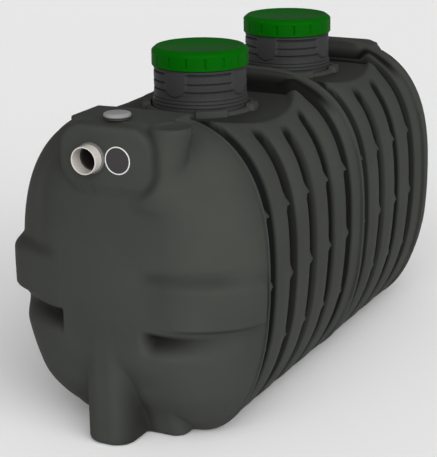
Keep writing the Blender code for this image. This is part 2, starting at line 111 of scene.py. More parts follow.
# Moulded features of the ends; X counts towards the second port, away from the pipe
FLUTE_X = -0.050
CHEEK_INNER_X = 0.170
CHEEK_START = 0.030
CHEEK_FADE = 0.300
CHEEK_LOW_Z = 0.526
CHEEK_HIGH_Z = 0.770
CHEEK_LOWER = 0.030
CHEEK_STEP = 0.006
CHEEK_UPPER = 0.070
CHEEK_SETBACK = 0.090
CHEEK_RISE = 0.045
CHEEK_RISE_X = 0.050
CHEEK_RISE_SPAN = 0.250
CHEEK_LIFT = 0.040
POCKET_DEPTH = 0.052
POCKET_HEIGHT = 0.130
POCKET_UPPER = 0.045
POCKET_LOWER = 0.085
POCKET_SPAN = 0.420
POCKET_SIDE = 0.014
POCKET_SLOPE = 0.060
COLUMN_Y = 1.040
COLUMN_HALF_WIDTH = 0.105
COLUMN_HALF_DEPTH = 0.203
COLUMN_CORNER = 0.085
COLUMN_TOP_Z = 0.600
COLUMN_ROUND = 0.022
BASE_FRONT_Y = 1.055
BASE_LEAN = 0.130
BASE_HALF_DEPTH = 0.200
BASE_TOP_Z = 0.260
BASE_LEAN_Z = 0.340
BASE_CORNER = 0.060
BASE_ROUND = 0.020
FOOT_BLEND = 0.012
BOSS_Z = 1.2115
BOSS_HALF_WIDTH = 0.205
BOSS_HALF_HEIGHT = 0.1265
BOSS_CORNER = 0.097
BOSS_TOP_Z = 1.345
BOSS_ROUND = 0.020
BOSS_BLEND = 0.030
TOP_ROUND = 0.010
TOP_EDGE = 0.016
SHELF_Y = 1.030
SHELF_HALF_WIDTH = 0.212
SHELF_HALF_DEPTH = 0.135
SHELF_LOW_Z = 1.150
SHELF_CORNER = 0.040
SHELF_BLEND = 0.020
LUG_X = 0.250
LUG_Y = 1.155
LUG_RADIUS = 0.082
LUG_LOW_Z = 1.020
LUG_LEAN = 0.250
LUG_BLEND = 0.035
DISH_DEPTH = 0.008
DISH_RADIUS = 0.045
DISH_EDGE = 0.020
REAR_DROP = 0.050

# Inner wall and the openings cut through the shell
WALL = 0.075
CEILING_Z = 1.235
FLOOR_Z = 0.067
MANHOLE_RADIUS = 0.180
MANHOLE_CUT_Z = 1.25
MANHOLE_CUT = 0.2
PORT_CUT_Y = 1.15
PORT_CUT = 0.4
HOLE_SIDES = 96

# Flat decks round the necks
DECK_Z = 1.2546
DECK_HALF_X = 0.352
DECK_HALF_Y = 0.490
DECK_SLOPE = 2.0
DECK_EDGE = 0.040
ARCH_HALF_WIDTH = 0.070
END_ARCH_WIDTH = 0.055
NECK_YS = {"front": -0.432, "rear": 0.476}

# Connections on each end for 110 mm pipe; the second port is closed by a plate in a ring
PORT_X = 0.059
PORT_ZS = {"front": 1.209, "rear": 1.159}
PIPE_RADIUS = 0.055
PIPE_BORE = 0.050
PIPE_REACH = 0.058
PIPE_EDGE = 0.0015
STUB_SEAT = 0.002
SLEEVE_BORE = 0.045
SLEEVE_EDGE = (0.002, 0.0022)
PIPE_INSIDE_Y = 1.060
SEAL_RADIUS = 0.0615
SEAL_THICKNESS = 0.012
SEAL_ROUND = ((0.0, 0.003), (0.001, 0.001), (0.002, 0.0))
RING_RADIUS = 0.055
RING_BORE = 0.0505
RING_THICKNESS = 0.003
RING_EDGE = 0.001
PLATE_RADIUS = 0.0502
PLATE_THICKNESS = 0.002
PLATE_EDGE = (0.0007, 0.0005)

# Vent on the inlet end; its crown is given as insets from the rim and drops from the top
VENT_Y = 1.139
VENT_RADIUS = 0.054
VENT_TOP_Z = 1.371
VENT_CAP_HEIGHT = 0.016
VENT_UNDERCUT = (0.002, 0.003)
VENT_CROWN = ((0.0, 0.006), (0.003, 0.0025), (0.007, 0.002), (0.009, 0.0005), (0.012, 0.0))
STEM_RADIUS = 0.045
STEM_FLARE = (0.002, 0.003)
STEM_EDGE = 0.001

# Necks, with ring grooves as (height, half height, depth) and four pads that break them
NECK_UPPER_RADIUS = 0.197
NECK_BORE = 0.182
NECK_SEAT_RADIUS = 0.190
NECK_SEAT_MARGIN = 0.0005
NECK_SEAT_DROP = 0.001
NECK_TOP_DROP = 0.004
NECK_FOOT_HEIGHT = 0.002
NECK_FOOT_RADIUS = 0.205
NECK_FLARE = 0.010
NECK_FLARE_START = 0.006
NECK_FLARE_HEIGHT = 0.075
NECK_GROOVES = ((1.4195, 0.0065, 0.010), (1.3815, 0.0055, 0.008), (1.348, 0.0055, 0.008),
                (1.312, 0.0035, 0.0035), (1.297, 0.0035, 0.0035), (1.282, 0.0035, 0.0035))
NECK_STEPS = 130
NECK_PADS = 4
NECK_PAD_TURN = -6.0
NECK_PAD_HALF_ANGLE = 15.5
NECK_PAD_EDGE = 2.4
NECK_PAD_PAST = 1.2
NECK_PAD_FOOT_Z = 1.322
NECK_PAD_FOOT_RISE = 0.030
NECK_PAD_FOOT_FADE = 0.010
NECK_PAD_TOP_Z = 1.431
NECK_PAD_TOP_FADE = 0.004
NECK_PAD_RADIUS = 0.202

# Raised rings round the necks, with tabs as (direction, half angle) in degrees
SOCKET_BORE = 0.2125
SOCKET_RADIUS = 0.236
SOCKET_HEIGHT = 0.016
SOCKET_BEVEL = (0.002, 0.003)
SOCKET_ROUND = ((0.012, 0.0), (0.005, 0.002), (0.001, 0.008))
SOCKET_TABS = ((-155.0, 9.0), (-52.0, 16.0), (10.0, 9.0), (128.0, 16.0))
SOCKET_TAB_EDGE = 2.0
SOCKET_TAB_FROM_RADIUS = 0.222
SOCKET_TAB_FROM_HEIGHT = 0.010
SOCKET_TAB_REACH = 0.014
SOCKET_TAB_RISE = 0.012

# Lids; the crown is given as insets from the rim and drops from the top
LID_RADIUS = 0.205
LID_INNER_RADIUS = 0.1965
LID_BOTTOM_Z = 1.439
LID_TOP_Z = 1.518
LID_THICKNESS = 0.013
LID_SEAL_HEIGHT = 0.010
LID_FOOT_EDGE = 0.002
LID_SKIRT_TOP = 0.019
LID_SKIRT_STEPS = 26
LID_CROWN = ((0.001, 0.016), (0.003, 0.013), (0.016, 0.002), (0.019, 0.0005), (0.023, 0.0), (0.026, 0.001),
             (0.028, 0.002))
LID_DISH = 0.002
LID_GRIPS = 16
GRIP_TURN = 10.4
GRIP_HALF_ANGLE = 0.5
GRIP_EDGE = 1.1
GRIP_DEPTH = 0.0055
GRIP_SKIN = 0.0035
GRIP_LOW = 0.006
GRIP_LOW_FADE = 0.006
GRIP_HIGH = 0.026
GRIP_HIGH_FADE = 0.008

# Painted shade: how dark the plastic is painted deep in a recess, and where the inlet end's recesses are
# painted dark
PAINTED_SHADE_DARKEST = 0.12
POCKET_FULL = 0.95
POCKET_PAINTED_SHADE = 0.85
BROW_PAINTED_SHADE = 0.30
BROW_DROP = 0.020
BROW_HEIGHT = 0.045
BROW_START = 0.08
BROW_END = 0.30
BROW_FADE = 0.12
VALLEY_PAINTED_SHADE = 0.55
VALLEY_OFF = 0.014
VALLEY_WIDTH = 0.030
VALLEY_START_X = 0.120
VALLEY_FADE = 0.080
BOSS_BACK_Y = 1.160
FLUTE_FOLD_PAINTED_SHADE = 0.45
FLUTE_FOLD_WIDTH = 0.060
FLUTE_FOLD_TOP_Z = 0.420
FLUTE_FOLD_HEIGHT = 0.300

# Where painted shade darkens the barrels: the grooves, the folds beside the arches, and the decks
GROOVE_DARK = 0.36
ARCH_FOLD_OFF = 0.066
ARCH_FOLD_HALF_WIDTH = 0.010
ARCH_FOLD_FADE = 0.035
ARCH_FOLD_BELOW_DECK = 0.10
ARCH_FOLD_RISE = 0.09
ARCH_FOLD_BELOW_TOP = 0.030
ARCH_FOLD_FALL = 0.02
DECK_PAINTED_SHADE = 0.40
DECK_PAINTED_SHADE_FADE = 0.06
DECK_PAINTED_SHADE_DEPTH = 0.02

# Loops and points of the meshes; tilts in degrees from the seam plane
RAY_REACH = 1.0
RAY_SAMPLES = 50
RAY_HALVINGS = 14
AROUND = 360
ROWS_PER_PITCH = 18
INNER_ROWS = 9
DOME_AROUND = 560
DOME_ROWS = 150
DOME_TILT = 88.0
DOME_CROWDING = 1.15
INNER_TILTS = (0, 12, 22, 32, 45, 60, 78)
SMALL_AROUND = 128
NECK_AROUND = 256
LID_AROUND = 480
MERGE_DISTANCE = 1e-6

# Angles, in degrees, past which an edge of a mesh is shaded sharp
BARREL_SHARP = 40.0
DOME_SHARP = 70.0
ROUND_SHARP = 35.0

# Uneven tone, gloss and grain of the plastic
CLOUD_SCALE = 2.2
CLOUD_DETAIL = 5.0
CLOUD_RANGE = (0.3, 0.7)
GLOSS_SPREAD = 0.06
GRAIN_SCALE = 220.0
GRAIN_DETAIL = 3.0
GRAIN_HEIGHT = 0.002

# Floor, and the camera as fitted to the photo; the azimuth turns from -Y towards +X
FLOOR_SIZE = 40.0
FLOOR_DROP = 0.0006
FLOOR_TONE = 0.93
FLOOR_ROUGHNESS = 0.9
CAMERA_PLACE = (2.9456, -6.1912, 2.6451)
CAMERA_AZIMUTH = 26.08
CAMERA_DOWN = 18.147
CAMERA_ROLL = -0.565
CAMERA_LENS = 121.48
CAMERA_SENSOR = 36.0
CAMERA_SHIFT = (-0.0229, 0.0868)
CAMERA_SIGHT = 100.0

# A wide soft light from the inlet end's side, low over the floor; the azimuth turns from +X towards +Y
LIGHT_AZIMUTH = -50.0
LIGHT_RISE = 8.0
LIGHT_SPREAD = 0.3
LIGHT_DIM = 0.30
LIGHT_BRIGHT = 3.8


def smooth_step(t):
    t = np.clip(t, 0.0, 1.0)
    return t * t * (3.0 - 2.0 * t)


def blend(a, b, radius):
    """Union of two distances with a fillet of about the given radius."""
    near = np.maximum(radius - np.abs(a - b), 0.0) / radius
    return np.minimum(a, b) - near * near * radius / 4.0


def section_level(x, z):
    """1 on the barrel's outline, less inside it."""
    rise = (z - WIDEST_Z) / (TOP_Z - WIDEST_Z)
    drop = (WIDEST_Z - z) / WIDEST_Z
    above = rise > 0.0
    flat = BASE_HALF_WIDTH * smooth_step(drop / BASE_FADE)
    across = np.where(above, np.abs(x) / HALF_WIDTH, np.maximum(np.abs(x) - flat, 0.0) / (HALF_WIDTH - flat))
    power = np.where(above, TOP_POWER, BELLY_POWER)
    return (across ** power + np.maximum(rise, drop) ** power) ** (1.0 / power)


def hull_level(x, y, z):
    """1 on the barrel and the rounded ends, less inside them."""
    past = np.maximum(np.abs(y) - CAP_START_Y, 0.0) / CAP_DEPTH
    high = smooth_step((z - CAP_LOW_Z) / (CAP_HIGH_Z - CAP_LOW_Z))
    power = CAP_LOW_POWER + (CAP_POWER - CAP_LOW_POWER) * high
    return (section_level(x, z) ** power + past ** power) ** (1.0 / power)


def hull_distance(x, y, z):
    """About the distance to the plain hull, without ribs or bosses."""
    step = 1e-4
    least_slope = 0.5
    level = hull_level(x, y, z)
    slope = np.sqrt(
        (hull_level(x + step, y, z) - level) ** 2
        + (hull_level(x, y + step, z) - level) ** 2
        + (hull_level(x, y, z + step) - level) ** 2
    ) / step
    return (level - 1.0) / np.maximum(slope, least_slope)


def deck_reach(x, y):
    """Below 0 on a deck, and more the further a point lies outside both."""
    out = np.full_like(x, np.inf)
    for neck_y in NECK_YS.values():
        out = np.minimum(out, np.hypot(x / DECK_HALF_X, (y - neck_y) / DECK_HALF_Y) - 1.0)
    return out


def deck_top(x, y):
    """Height that the shell is cut down to around the necks."""
    rise = np.maximum(deck_reach(x, y) * DECK_HALF_X, 0.0)
    rise = np.maximum(rise, ARCH_HALF_WIDTH - np.abs(y - MIDDLE_SEAM_Y))
    rise = np.maximum(rise, np.abs(y) - REAR_SEAM_Y + END_ARCH_WIDTH)
    return DECK_Z + DECK_SLOPE * rise


def groove_side(x, y, z, beside_arch):
    """Fades a groove out towards the deck and the base; one beside an arch runs on over the top."""
    top = 1.0 if beside_arch else smooth_step((deck_reach(x, y) - GROOVE_CLEAR) / GROOVE_FADE)
    return np.where(z > WIDEST_Z, top, smooth_step((z - GROOVE_FOOT_Z) / GROOVE_FOOT_FADE))


def groove_fill(x, y, z):
    """1 on the floor of a groove, 0 on the ribs and on the nubs that lean into the grooves."""
    fill = np.zeros_like(x)
    for number in range(GROOVES):
        off = np.abs(y - FIRST_GROOVE_Y - number * RIB_PITCH)
        wall = smooth_step((off - GROOVE_FLOOR) / (GROOVE_HALF_WIDTH - GROOVE_FLOOR))
        fill = np.maximum(fill, (1.0 - wall) * groove_side(x, y, z, number in ARCH_GROOVES))
    behind = np.mod(y - FIRST_GROOVE_Y + GROOVE_HALF_WIDTH, RIB_PITCH)
    for nub_z in NUB_ZS:
        reach = smooth_step((z - nub_z + NUB_BELOW) / NUB_LOWER)
        reach = reach * smooth_step((nub_z + NUB_ABOVE - z) / NUB_UPPER)
        nub = smooth_step((NUB_REACH * reach - behind + NUB_EDGE / 2.0) / NUB_EDGE)
        fill = fill * (1.0 - nub * smooth_step(reach / NUB_FULL))
    return fill


def groove_inset(x, y, z):
    """Depth below the plain barrel: the grooves, and the ribs' crowned backs between them."""
    off = np.abs(np.mod(y - FIRST_GROOVE_Y + RIB_PITCH / 2.0, RIB_PITCH) - RIB_PITCH / 2.0)
    crown = RIB_CROWN * (1.0 - smooth_step(off / (0.5 * RIB_PITCH))) * groove_side(x, y, z, False)
    inset = np.maximum(groove_fill(x, y, z), crown)
    return RIB_INSET * smooth_step((z - GROOVE_FOOT_Z) / RIB_FOOT_FADE) + GROOVE_DEPTH * inset


def barrel_skin(x, y, z):
    """Distance to the ribbed shell with its flat decks."""
    shell = hull_distance(x, y, z) + groove_inset(x, y, z)
    shell = -blend(-shell, deck_top(x, y) - z, DECK_EDGE)
    return np.maximum(shell, -z)


def rounded_corner(one, two, radius):
    """Distance to where both distances are below 0, with the corner between them rounded."""
    one = one + radius
    two = two + radius
    outside = np.hypot(np.maximum(one, 0.0), np.maximum(two, 0.0))
    return outside + np.minimum(np.maximum(one, two), 0.0) - radius


def rounded_outline(across, up, half_across, half_up, radius):
    """Distance in a plane to a rectangle with rounded corners."""
    return rounded_corner(np.abs(across) - half_across, np.abs(up) - half_up, radius)


def cheek_rise(across):
    """How much higher the bulge on the pipe's side of the flute sits."""
    return CHEEK_RISE * smooth_step((CHEEK_RISE_X - across) / CHEEK_RISE_SPAN)


def cheek_lift(across, out, z):
    """How far the bulge on each side of the flute stands off the dome."""
    low = CHEEK_LOW_Z + cheek_rise(across)
    high = CHEEK_HIGH_Z + cheek_rise(across)
    band = smooth_step((z - low) / CHEEK_LOWER) * smooth_step((high - z) / CHEEK_UPPER)
    near = smooth_step((np.abs(across - FLUTE_X) - CHEEK_INNER_X - CHEEK_START) / CHEEK_FADE)
    return CHEEK_LIFT * band * near * smooth_step((out - CAP_START_Y) / CHEEK_SETBACK)


def pocket_depth(across, z):
    """Depth of the recess under each bulge, deepest beside the flute."""
    past = np.abs(across - FLUTE_X) - CHEEK_INNER_X
    top = CHEEK_LOW_Z + CHEEK_STEP + cheek_rise(across)
    depth = POCKET_DEPTH * (1.0 - smooth_step(past / POCKET_SPAN))
    ramp = smooth_step((z - top + POCKET_HEIGHT) / POCKET_LOWER) * smooth_step((top - z) / POCKET_UPPER)
    side = np.where(across > FLUTE_X, POCKET_SLOPE, POCKET_SIDE)
    return depth * ramp * smooth_step(past / side)


def dome(x, y, z):
    """The plain end: rounded off, tucked in towards the floor and filled out in the middle."""
    side = np.abs(x)
    out = np.abs(y)
    tuck = CAP_TUCK * smooth_step((TUCK_TOP_Z - z) / TUCK_HEIGHT)
    tuck = tuck * smooth_step((out - CAP_START_Y) / TUCK_REACH)
    pad = rounded_outline(side, z - PAD_Z, PAD_HALF_WIDTH, PAD_HALF_HEIGHT, PAD_CORNER)
    pad = rounded_corner(pad, out - PAD_Y, PAD_EDGE)
    return blend(hull_distance(x, y, z) + CAP_INSET + tuck, pad, PAD_BLEND)


def foot(across, side, out, z):
    """The flute's column under the pipe, and the base block behind it."""
    column = rounded_outline(across - FLUTE_X, out - COLUMN_Y, COLUMN_HALF_WIDTH, COLUMN_HALF_DEPTH,
                             COLUMN_CORNER)
    column = np.maximum(rounded_corner(column, -z, COLUMN_ROUND), z - COLUMN_TOP_Z)
    front = BASE_FRONT_Y + BASE_LEAN * smooth_step(z / BASE_LEAN_Z)
    base = rounded_outline(side, out - front + BASE_HALF_DEPTH, BASE_HALF_WIDTH, BASE_HALF_DEPTH, BASE_CORNER)
    base = rounded_corner(base, np.maximum(-z, z - BASE_TOP_Z), BASE_ROUND)
    return blend(column, base, FOOT_BLEND)


def top_features(across, side, out, z, drop, solid):
    """Port boss, the shelf behind it and, where nothing drops, the lug beside it."""
    boss = rounded_outline(side, z - BOSS_Z + drop, BOSS_HALF_WIDTH, BOSS_HALF_HEIGHT, BOSS_CORNER)
    solid = blend(solid, rounded_corner(boss, out - FACE_Y, BOSS_ROUND), BOSS_BLEND)
    top = z - BOSS_TOP_Z + drop
    shelf = rounded_outline(side, out - SHELF_Y, SHELF_HALF_WIDTH, SHELF_HALF_DEPTH, SHELF_CORNER)
    shelf = rounded_corner(shelf, np.maximum(top, SHELF_LOW_Z - z), TOP_ROUND)
    solid = blend(solid, shelf, SHELF_BLEND)
    lug = np.hypot(across - LUG_X - LUG_LEAN * (z - BOSS_TOP_Z), out - LUG_Y) - LUG_RADIUS
    lug = rounded_corner(lug, np.maximum(top, LUG_LOW_Z - z), TOP_ROUND)
    solid = np.where(drop > 0.0, solid, blend(solid, lug, LUG_BLEND))
    dish = 1.0 - smooth_step((np.hypot(across - LUG_X, out - LUG_Y) - DISH_RADIUS) / DISH_EDGE)
    top = top + np.where(drop > 0.0, 0.0, DISH_DEPTH * dish)
    return -blend(-solid, -top, TOP_EDGE)


def cap_skin(x, y, z):
    """Distance to a domed end; only the inlet end has cheeks, pockets and a lug."""
    front = y < 0.0
    side = np.abs(x)
    out = np.abs(y)
    across = np.where(front, x, -x)
    relief = pocket_depth(across, z) - cheek_lift(across, out, z)
    solid = dome(x, y, z) + np.where(front, relief, 0.0)
    solid = blend(solid, foot(across, side, out, z), FOOT_BLEND)
    solid = top_features(across, side, out, z, np.where(front, 0.0, REAR_DROP), solid)
    return np.maximum(np.maximum(solid, out - FACE_Y), -z)


def inner_wall(x, y, z):
    """Distance to the plain inner face, with its flat ceiling and floor."""
    plain = hull_distance(x, y, z) + WALL
    return np.maximum(np.maximum(plain, z - CEILING_Z), FLOOR_Z - z)


def ray_lengths(skin, origins, ways):
    """Distance from each origin along its way to the outermost point of the skin."""
    low = np.zeros(len(origins))
    high = np.full(len(origins), RAY_REACH)
    open_rays = np.arange(len(origins))
    for number in range(RAY_SAMPLES, 0, -1):
        length = RAY_REACH * (number - 1) / RAY_SAMPLES
        inside = skin(*(origins[open_rays] + ways[open_rays] * length).T) < 0.0
        hit = open_rays[inside]
        low[hit] = length
        high[hit] = length + RAY_REACH / RAY_SAMPLES
        open_rays = open_rays[~inside]
        if not len(open_rays):
            break
    for _ in range(RAY_HALVINGS):
        middle = (low + high) / 2.0
        inside = skin(*(origins + ways * middle[:, None]).T) < 0.0
        low = np.where(inside, middle, low)
        high = np.where(inside, high, middle)
    return low


def directions(around):
    """Evenly spread ways out from the tank's axis."""
    angles = (np.arange(around) + 0.5) * 2.0 * math.pi / around
    return np.stack([np.cos(angles), np.zeros(around), np.sin(angles)], axis=1)


def ring_rows(skin, ys):
    """Loops of points where the skin crosses planes across the tank."""
    ways = np.tile(directions(AROUND), (len(ys), 1))
    origins = np.repeat([[0.0, y, WIDEST_Z] for y in ys], AROUND, axis=0)
    points = origins + ways * ray_lengths(skin, origins, ways)[:, None]
    return points.reshape(len(ys), AROUND, 3)


def dome_rows(skin, seam_y, tilts):
    """Loops from the seam plane out to the end, with the end point last."""
    outward = math.copysign(1.0, seam_y)
    flat = directions(DOME_AROUND)
    ways = np.concatenate([flat * math.cos(t) + np.array([0.0, outward * math.sin(t), 0.0]) for t in tilts])
    origins = np.tile([0.0, seam_y, WIDEST_Z], (len(ways), 1))
    points = origins + ways * ray_lengths(skin, origins, ways)[:, None]
    way = np.array([[0.0, outward, 0.0]])
    origin = np.array([[0.0, seam_y, WIDEST_Z]])
    pole = (origin + way * ray_lengths(skin, origin, way)[:, None])[0]
    return points.reshape(len(tilts), DOME_AROUND, 3), pole


def mesh_object(name, vertices, faces, sharp):
    """A piece of the tank's body from points and faces."""
    mesh = bpy.data.meshes.new(name)
    mesh.from_pydata([tuple(v) for v in vertices], [], faces)
    mesh.validate()
    return finish_mesh(name, mesh, "tank", sharp)


def finish_mesh(name, mesh, body, sharp):
    """A smooth object on a body, with edges sharp past an angle in degrees."""
    mesh.shade_smooth()
    mesh.set_sharp_from_angle(angle=math.radians(sharp))
    made = bpy.data.objects.new(name, mesh)
    bpy.context.scene.collection.objects.link(made)
    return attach(made, body)


def grid_faces(rows, around, closed):
    """Quads between rows of a wrapped grid, and from the last row to the first if closed."""
    row = np.arange(rows if closed else rows - 1)
    one = np.arange(around)
    after = (one + 1) % around
    here = row[:, None] * around
    there = ((row + 1) % rows)[:, None] * around
    quads = np.stack([here + one, here + after, there + after, there + one], axis=2)
    return quads.reshape(-1, 4).tolist()


def barrel(place):
    """A ribbed section between two seams, with its manhole."""
    node = place + "_barrel"
    low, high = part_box(node)
    rows = round((high.y - low.y) / RIB_PITCH * ROWS_PER_PITCH)
    outer = ring_rows(barrel_skin, np.linspace(low.y, high.y, rows))
    inner = ring_rows(inner_wall, np.linspace(high.y, low.y, INNER_ROWS))
    points = np.concatenate([outer, inner]).reshape(-1, 3)
    faces = grid_faces(len(outer) + len(inner), AROUND, True)
    made = mesh_object(node + "_skin", points, faces, BARREL_SHARP)
    cut_round(made, MANHOLE_RADIUS, (0.0, NECK_YS[place], MANHOLE_CUT_Z), (0.0, 0.0, 1.0), MANHOLE_CUT)
    # Painted shade in the grooves, the folds beside the arches and on the decks, stored on each point
    store_painted_shade(made, barrel_painted_shade)
    return dress(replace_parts(made, node), "body")


def lip_skin(x, y, z):
    """Distance to the barrel's plain outline, the same all along the tank."""
    return np.maximum(hull_distance(x, 0.0 * y, z), -z)


def lip_bore(x, y, z):
    """Distance to the opening inside a weld lip."""
    return np.maximum(hull_distance(x, 0.0 * y, z) + LIP_DEPTH, LIP_DEPTH - z)


def seam_lip(node):
    """A thin weld lip with rounded edges, whose outermost rows are drawn in a little."""
    low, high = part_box(node)
    ys = np.array([low.y, low.y + LIP_ROUND, high.y - LIP_ROUND, high.y])
    outer = ring_rows(lip_skin, ys)
    centre = np.array([0.0, 0.0, WIDEST_Z])
    for row in (0, -1):
        reach = outer[row] - centre
        reach[:, 1] = 0.0
        outer[row] -= reach * LIP_DRAW
    inner = ring_rows(lip_bore, np.array([high.y, low.y]))
    points = np.concatenate([outer, inner]).reshape(-1, 3)
    points[:, 2] = np.maximum(points[:, 2], 0.0)
    faces = grid_faces(len(outer) + len(inner), AROUND, True)
    made = mesh_object(node + "_rounded", points, faces, BARREL_SHARP)
    return dress(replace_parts(made, node), "body")


def domed_end(place, outward):
    """A domed end between its seam and its face, kept as wide as the node, with the pipe's hole."""
    name = place + "_end_skin"
    node = place + "_end"
    low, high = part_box(node)
    seam_y = high.y if outward < 0 else low.y
    tilts = np.radians(DOME_TILT) * np.linspace(0.0, 1.0, DOME_ROWS) ** DOME_CROWDING
    outer, outer_pole = dome_rows(cap_skin, seam_y, tilts)
    inner, inner_pole = dome_rows(inner_wall, seam_y, np.radians(INNER_TILTS))
    rows = np.concatenate([inner[::-1], outer])
    faces = grid_faces(len(rows), DOME_AROUND, False)
    points = np.concatenate([rows.reshape(-1, 3), [inner_pole, outer_pole]])
    points[:, 0] *= min(1.0, high.x / np.abs(points[:, 0]).max())
    inner_tip = len(points) - 2
    outer_tip = len(points) - 1
    last = (len(rows) - 1) * DOME_AROUND
    for index in range(DOME_AROUND):
        after = (index + 1) % DOME_AROUND
        faces.append((after, index, inner_tip))
        faces.append((last + index, last + after, outer_tip))
    made = mesh_object(name, points, faces, DOME_SHARP)
    port = (outward * PORT_X, outward * PORT_CUT_Y, PORT_ZS[place])
    cut_round(made, PIPE_RADIUS + GAP, port, (0.0, 1.0, 0.0), PORT_CUT)
    # Painted shade in the inlet end's pockets, brows, boss valley and flute fold, stored on each point
    store_painted_shade(made, end_painted_shade)
    return dress(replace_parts(made, node), "body")


def cut_round(made, radius, centre, axis, length):
    """Cut a round hole through a closed mesh."""
    turn = Vector((0.0, 0.0, 1.0)).rotation_difference(Vector(axis)).to_matrix().to_4x4()
    place = Matrix.Translation(centre) @ turn
    builder = bmesh.new()
    bmesh.ops.create_cone(builder, cap_ends=True, segments=HOLE_SIDES, radius1=radius, radius2=radius,
                          depth=length, matrix=place)
    mesh = bpy.data.meshes.new("cutter")
    builder.to_mesh(mesh)
    builder.free()
    cutter = bpy.data.objects.new("cutter", mesh)
    bpy.context.scene.collection.objects.link(cutter)
    modifier = made.modifiers.new("hole", "BOOLEAN")
    modifier.operation = "DIFFERENCE"
    modifier.solver = "MANIFOLD"
    modifier.object = cutter
    apply_modifiers(made)
    bpy.data.objects.remove(cutter, do_unlink=True)


def store_painted_shade(made, depth_at):
    """Store how much painted shade each point gets, from where it lies in the moulded recesses, to darken the
    plastic's colour.
    """
    points = np.empty(len(made.data.vertices) * 3)
    made.data.vertices.foreach_get("co", points)
    x, y, z = points.reshape(-1, 3).T
    layer = made.data.attributes.new("painted_shade", "FLOAT", "POINT")
    layer.data.foreach_set("value", depth_at(x, y, z).astype(np.float32))


def brow_shade(x, z):
    """Painted shade in the soft fold on top of each bulge."""
    beside = np.abs(x - FLUTE_X) - CHEEK_INNER_X
    level = np.abs(z - CHEEK_HIGH_Z - cheek_rise(x) + BROW_DROP)
    brow = BROW_PAINTED_SHADE * (1.0 - smooth_step(level / BROW_HEIGHT)) * smooth_step(beside / BROW_START)
    return brow * (1.0 - smooth_step((beside - BROW_END) / BROW_FADE))


def valley_shade(x, y, z):
    """Painted shade in the valley between the port boss and the lug beside it."""
    boss = rounded_outline(np.abs(x), z - BOSS_Z, BOSS_HALF_WIDTH, BOSS_HALF_HEIGHT, BOSS_CORNER)
    beside = smooth_step((x - VALLEY_START_X) / VALLEY_FADE)
    valley = (1.0 - smooth_step(np.abs(boss - VALLEY_OFF) / VALLEY_WIDTH)) * beside
    return VALLEY_PAINTED_SHADE * valley * (z < BOSS_TOP_Z - TOP_EDGE) * (y < -BOSS_BACK_Y)


def flute_shade(x, z):
    """Painted shade in the fold between the flute's column and the dome, on the side of the second port."""
    off = np.abs(x - FLUTE_X - COLUMN_HALF_WIDTH)
    low = smooth_step((FLUTE_FOLD_TOP_Z - z) / FLUTE_FOLD_HEIGHT)
    return FLUTE_FOLD_PAINTED_SHADE * (1.0 - smooth_step(off / FLUTE_FOLD_WIDTH)) * low


def end_painted_shade(x, y, z):
    """Painted shade in the pockets, brows, valley and fold of the inlet end; the outlet end has none."""
    pocket = POCKET_PAINTED_SHADE * smooth_step(pocket_depth(x, z) / POCKET_DEPTH / POCKET_FULL)
    shades = np.stack([pocket, brow_shade(x, z), valley_shade(x, y, z), flute_shade(x, z)]).max(axis=0)
    return np.where(y < 0.0, shades, 0.0)


def barrel_painted_shade(x, y, z):
    """Painted shade in the grooves, the folds where the decks meet the arches, and on the decks themselves.
    """
    grooves = smooth_step(groove_fill(x, y, z) / GROOVE_DARK)
    middle = np.abs(np.abs(y - MIDDLE_SEAM_Y) - ARCH_FOLD_OFF)
    fold = np.minimum(middle, np.abs(np.abs(y) - REAR_SEAM_Y + ARCH_FOLD_OFF))
    above = smooth_step((z - DECK_Z + ARCH_FOLD_BELOW_DECK) / ARCH_FOLD_RISE)
    below = 1.0 - smooth_step((z - TOP_Z + ARCH_FOLD_BELOW_TOP) / ARCH_FOLD_FALL)
    folds = (1.0 - smooth_step((fold - ARCH_FOLD_HALF_WIDTH) / ARCH_FOLD_FADE)) * above * below
    deck = DECK_PAINTED_SHADE * (1.0 - smooth_step(deck_reach(x, y) / DECK_PAINTED_SHADE_FADE))
    deck = deck * (z > DECK_Z - DECK_PAINTED_SHADE_DEPTH)
    return np.maximum(np.maximum(grooves, folds), deck)


def apply_modifiers(made):
    """Turn an object's evaluated shape into its own mesh."""
    bpy.context.view_layer.update()
    graph = bpy.context.evaluated_depsgraph_get()
    mesh = bpy.data.meshes.new_from_object(made.evaluated_get(graph), depsgraph=graph)
    made.modifiers.clear()
    made.data = mesh


def noise(nodes, links, place, scale, detail):
    """A cloudy value over the object."""
    made = nodes.new("ShaderNodeTexNoise")
    made.inputs["Scale"].default_value = scale
    made.inputs["Detail"].default_value = detail
    links.new(place.outputs["Object"], made.inputs["Vector"])
    return made.outputs["Fac"]


def stretched(nodes, links, value, low, high):
    """A value from 0 to 1 that now runs from low to high."""
    made = nodes.new("ShaderNodeMapRange")
    made.inputs["To Min"].default_value = low
    made.inputs["To Max"].default_value = high
    links.new(value, made.inputs["Value"])
    return made.outputs["Result"]


